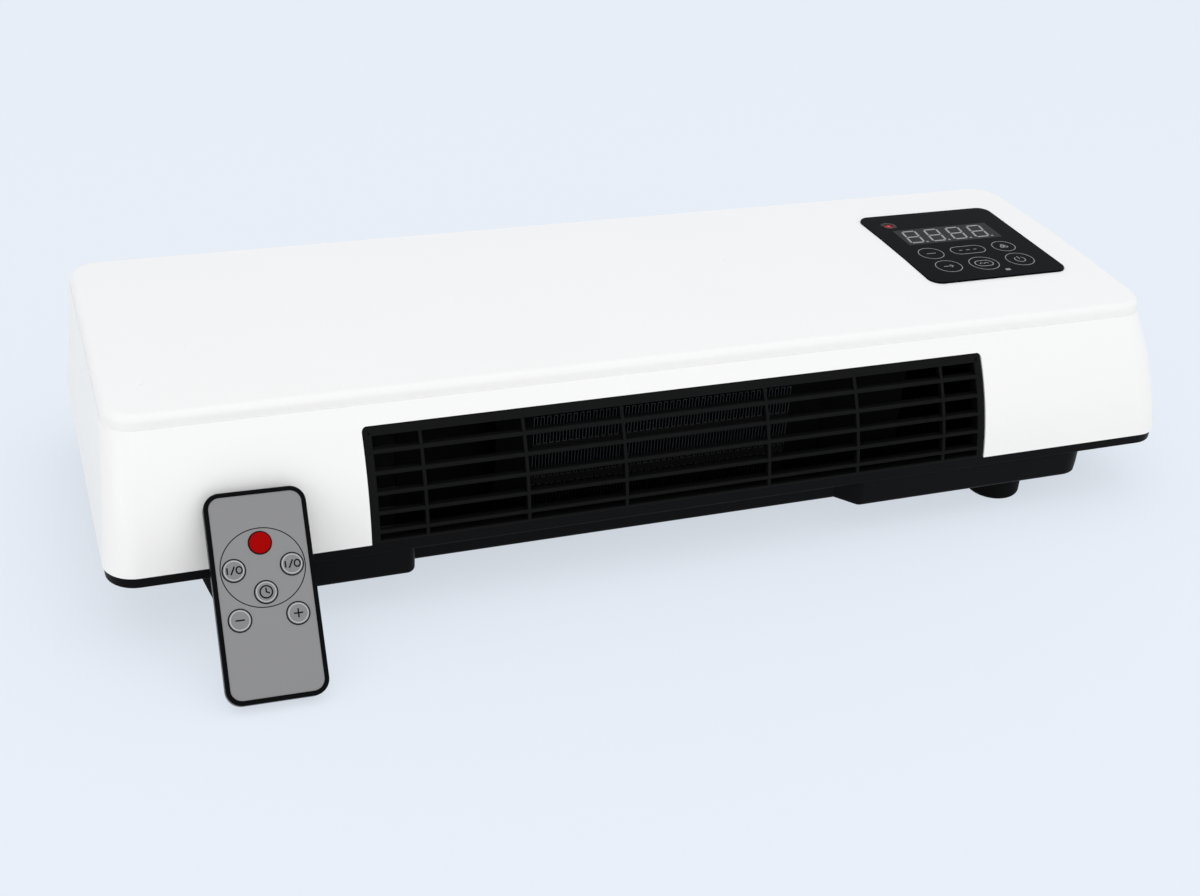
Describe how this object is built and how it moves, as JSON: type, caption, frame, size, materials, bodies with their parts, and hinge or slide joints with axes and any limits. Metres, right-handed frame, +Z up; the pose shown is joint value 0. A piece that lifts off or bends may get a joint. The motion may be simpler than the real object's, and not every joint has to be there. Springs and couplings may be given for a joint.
{
  "type": "portable ceramic heater",
  "caption": "Long low ceramic fan heater with a white curved cover, black outlet grille, black touch window and a small card remote leaning on its front.",
  "frame": {"origin": "on the floor, under the middle of the box around the heater and its leaning remote", "axes": "+X along the heater's long side, towards the control window; +Y from the outlet grille to the back; +Z up"},
  "size_m": [0.5, 0.2325, 0.0953],
  "materials": {
    "cover_white": "satin white moulded skin",
    "base_black": "fine grained black",
    "grille_black": "satin black",
    "foot_black": "black rubber",
    "window_black": "polished black",
    "display_grey": "unlit segments on black",
    "led_red": "clear red lens",
    "circuit_green": "solder mask",
    "part_black": "moulded black",
    "spring_steel": "bright sheet",
    "duct_grey": "heat resistant plastic",
    "rotor_aluminium": "plain sheet",
    "shaft_steel": "ground",
    "bush_brass": "sintered",
    "mount_rubber": "soft",
    "motor_steel": "zinc plated",
    "screw_steel": "zinc plated",
    "fin_aluminium": "bright corrugated strip",
    "ptc_ceramic": "ceramic in aluminium foil",
    "terminal_brass": "stamped",
    "relay_blue": "moulded",
    "capacitor_yellow": "moulded",
    "transformer_dark": "varnished core",
    "lead_brown": "insulated lead",
    "lead_red": "heat resistant sleeve",
    "lead_white": "insulated lead",
    "remote_black": "satin black",
    "remote_grey": "satin grey",
    "button_grey": "light grey",
    "button_red": "red",
    "diode_clear": "tinted lens"
  },
  "bodies": {
    "heater": {"top_cover": "cover_white", "base_pan": "base_black", "foot_front_left": "foot_black", "foot_front_right": "foot_black", "foot_rear_left": "foot_black", "foot_rear_right": "foot_black", "outlet_grille": "grille_black", "control_window": "window_black", "control_board": "circuit_green", "display_module": "display_grey", "indicator_led": "led_red", "touch_pads": "spring_steel", "ir_receiver": "part_black", "fan_housing": "duct_grey", "bearing_bush": "bush_brass", "bearing_mount": "mount_rubber", "motor_case": "motor_steel", "motor_screws": "screw_steel", "ptc_fins_1": "fin_aluminium", "ptc_fins_2": "fin_aluminium", "ptc_fins_3": "fin_aluminium", "ptc_bar_1": "ptc_ceramic", "ptc_bar_2": "ptc_ceramic", "ptc_cap_left": "part_black", "ptc_cap_right": "part_black", "ptc_terminals": "terminal_brass", "thermal_cutout": "part_black", "thermal_fuse": "spring_steel", "power_board": "circuit_green", "relay_low": "relay_blue", "relay_high": "relay_blue", "capacitor": "capacitor_yellow", "transformer": "transformer_dark", "terminal_block": "part_black", "board_screws": "screw_steel", "cable_gland": "base_black", "mains_leads": "lead_brown", "element_leads": "lead_red", "motor_leads": "lead_white", "panel_lead": "lead_white", "case_screws": "screw_steel"},
    "fan": {"fan_rotor": "rotor_aluminium", "fan_shaft": "shaft_steel"},
    "remote": {"remote_case": "remote_black", "remote_face": "remote_grey", "remote_board": "circuit_green", "key_domes": "spring_steel", "remote_diode": "diode_clear"},
    "tray": {"battery_tray": "remote_black", "coin_cell": "spring_steel"},
    "button_red_body": {"button_red": "button_red"},
    "button_on_body": {"button_on": "button_grey"},
    "button_off_body": {"button_off": "button_grey"},
    "button_timer_body": {"button_timer": "button_grey"},
    "button_minus_body": {"button_minus": "button_grey"},
    "button_plus_body": {"button_plus": "button_grey"}
  },
  "joints": [
    {"name": "fan_spin", "type": "hinge", "parent": "heater", "child": "fan", "pos_m": [0, 0.04025, 0.052], "axis": [1, 0, 0], "continuous": true},
    {"name": "remote_lift", "type": "slide", "parent": "heater", "child": "remote", "axis": [-0.0262, -0.7497, 0.6613], "range_m": [0, 0.12]},
    {"name": "tray_slide", "type": "slide", "parent": "remote", "child": "tray", "axis": [-0.0231, -0.6609, -0.7501], "range_m": [0, 0.025]},
    {"name": "button_red_press", "type": "slide", "parent": "remote", "child": "button_red_body", "axis": [0.0262, 0.7497, -0.6613], "range_m": [0, 0.0004], "stiffness_N_per_m": 300, "springref_m": -0.0012},
    {"name": "button_on_press", "type": "slide", "parent": "remote", "child": "button_on_body", "axis": [0.0262, 0.7497, -0.6613], "range_m": [0, 0.0004], "stiffness_N_per_m": 300, "springref_m": -0.0012},
    {"name": "button_off_press", "type": "slide", "parent": "remote", "child": "button_off_body", "axis": [0.0262, 0.7497, -0.6613], "range_m": [0, 0.0004], "stiffness_N_per_m": 300, "springref_m": -0.0012},
    {"name": "button_timer_press", "type": "slide", "parent": "remote", "child": "button_timer_body", "axis": [0.0262, 0.7497, -0.6613], "range_m": [0, 0.0004], "stiffness_N_per_m": 300, "springref_m": -0.0012},
    {"name": "button_minus_press", "type": "slide", "parent": "remote", "child": "button_minus_body", "axis": [0.0262, 0.7497, -0.6613], "range_m": [0, 0.0004], "stiffness_N_per_m": 300, "springref_m": -0.0012},
    {"name": "button_plus_press", "type": "slide", "parent": "remote", "child": "button_plus_body", "axis": [0.0262, 0.7497, -0.6613], "range_m": [0, 0.0004], "stiffness_N_per_m": 300, "springref_m": -0.0012}
  ]
}
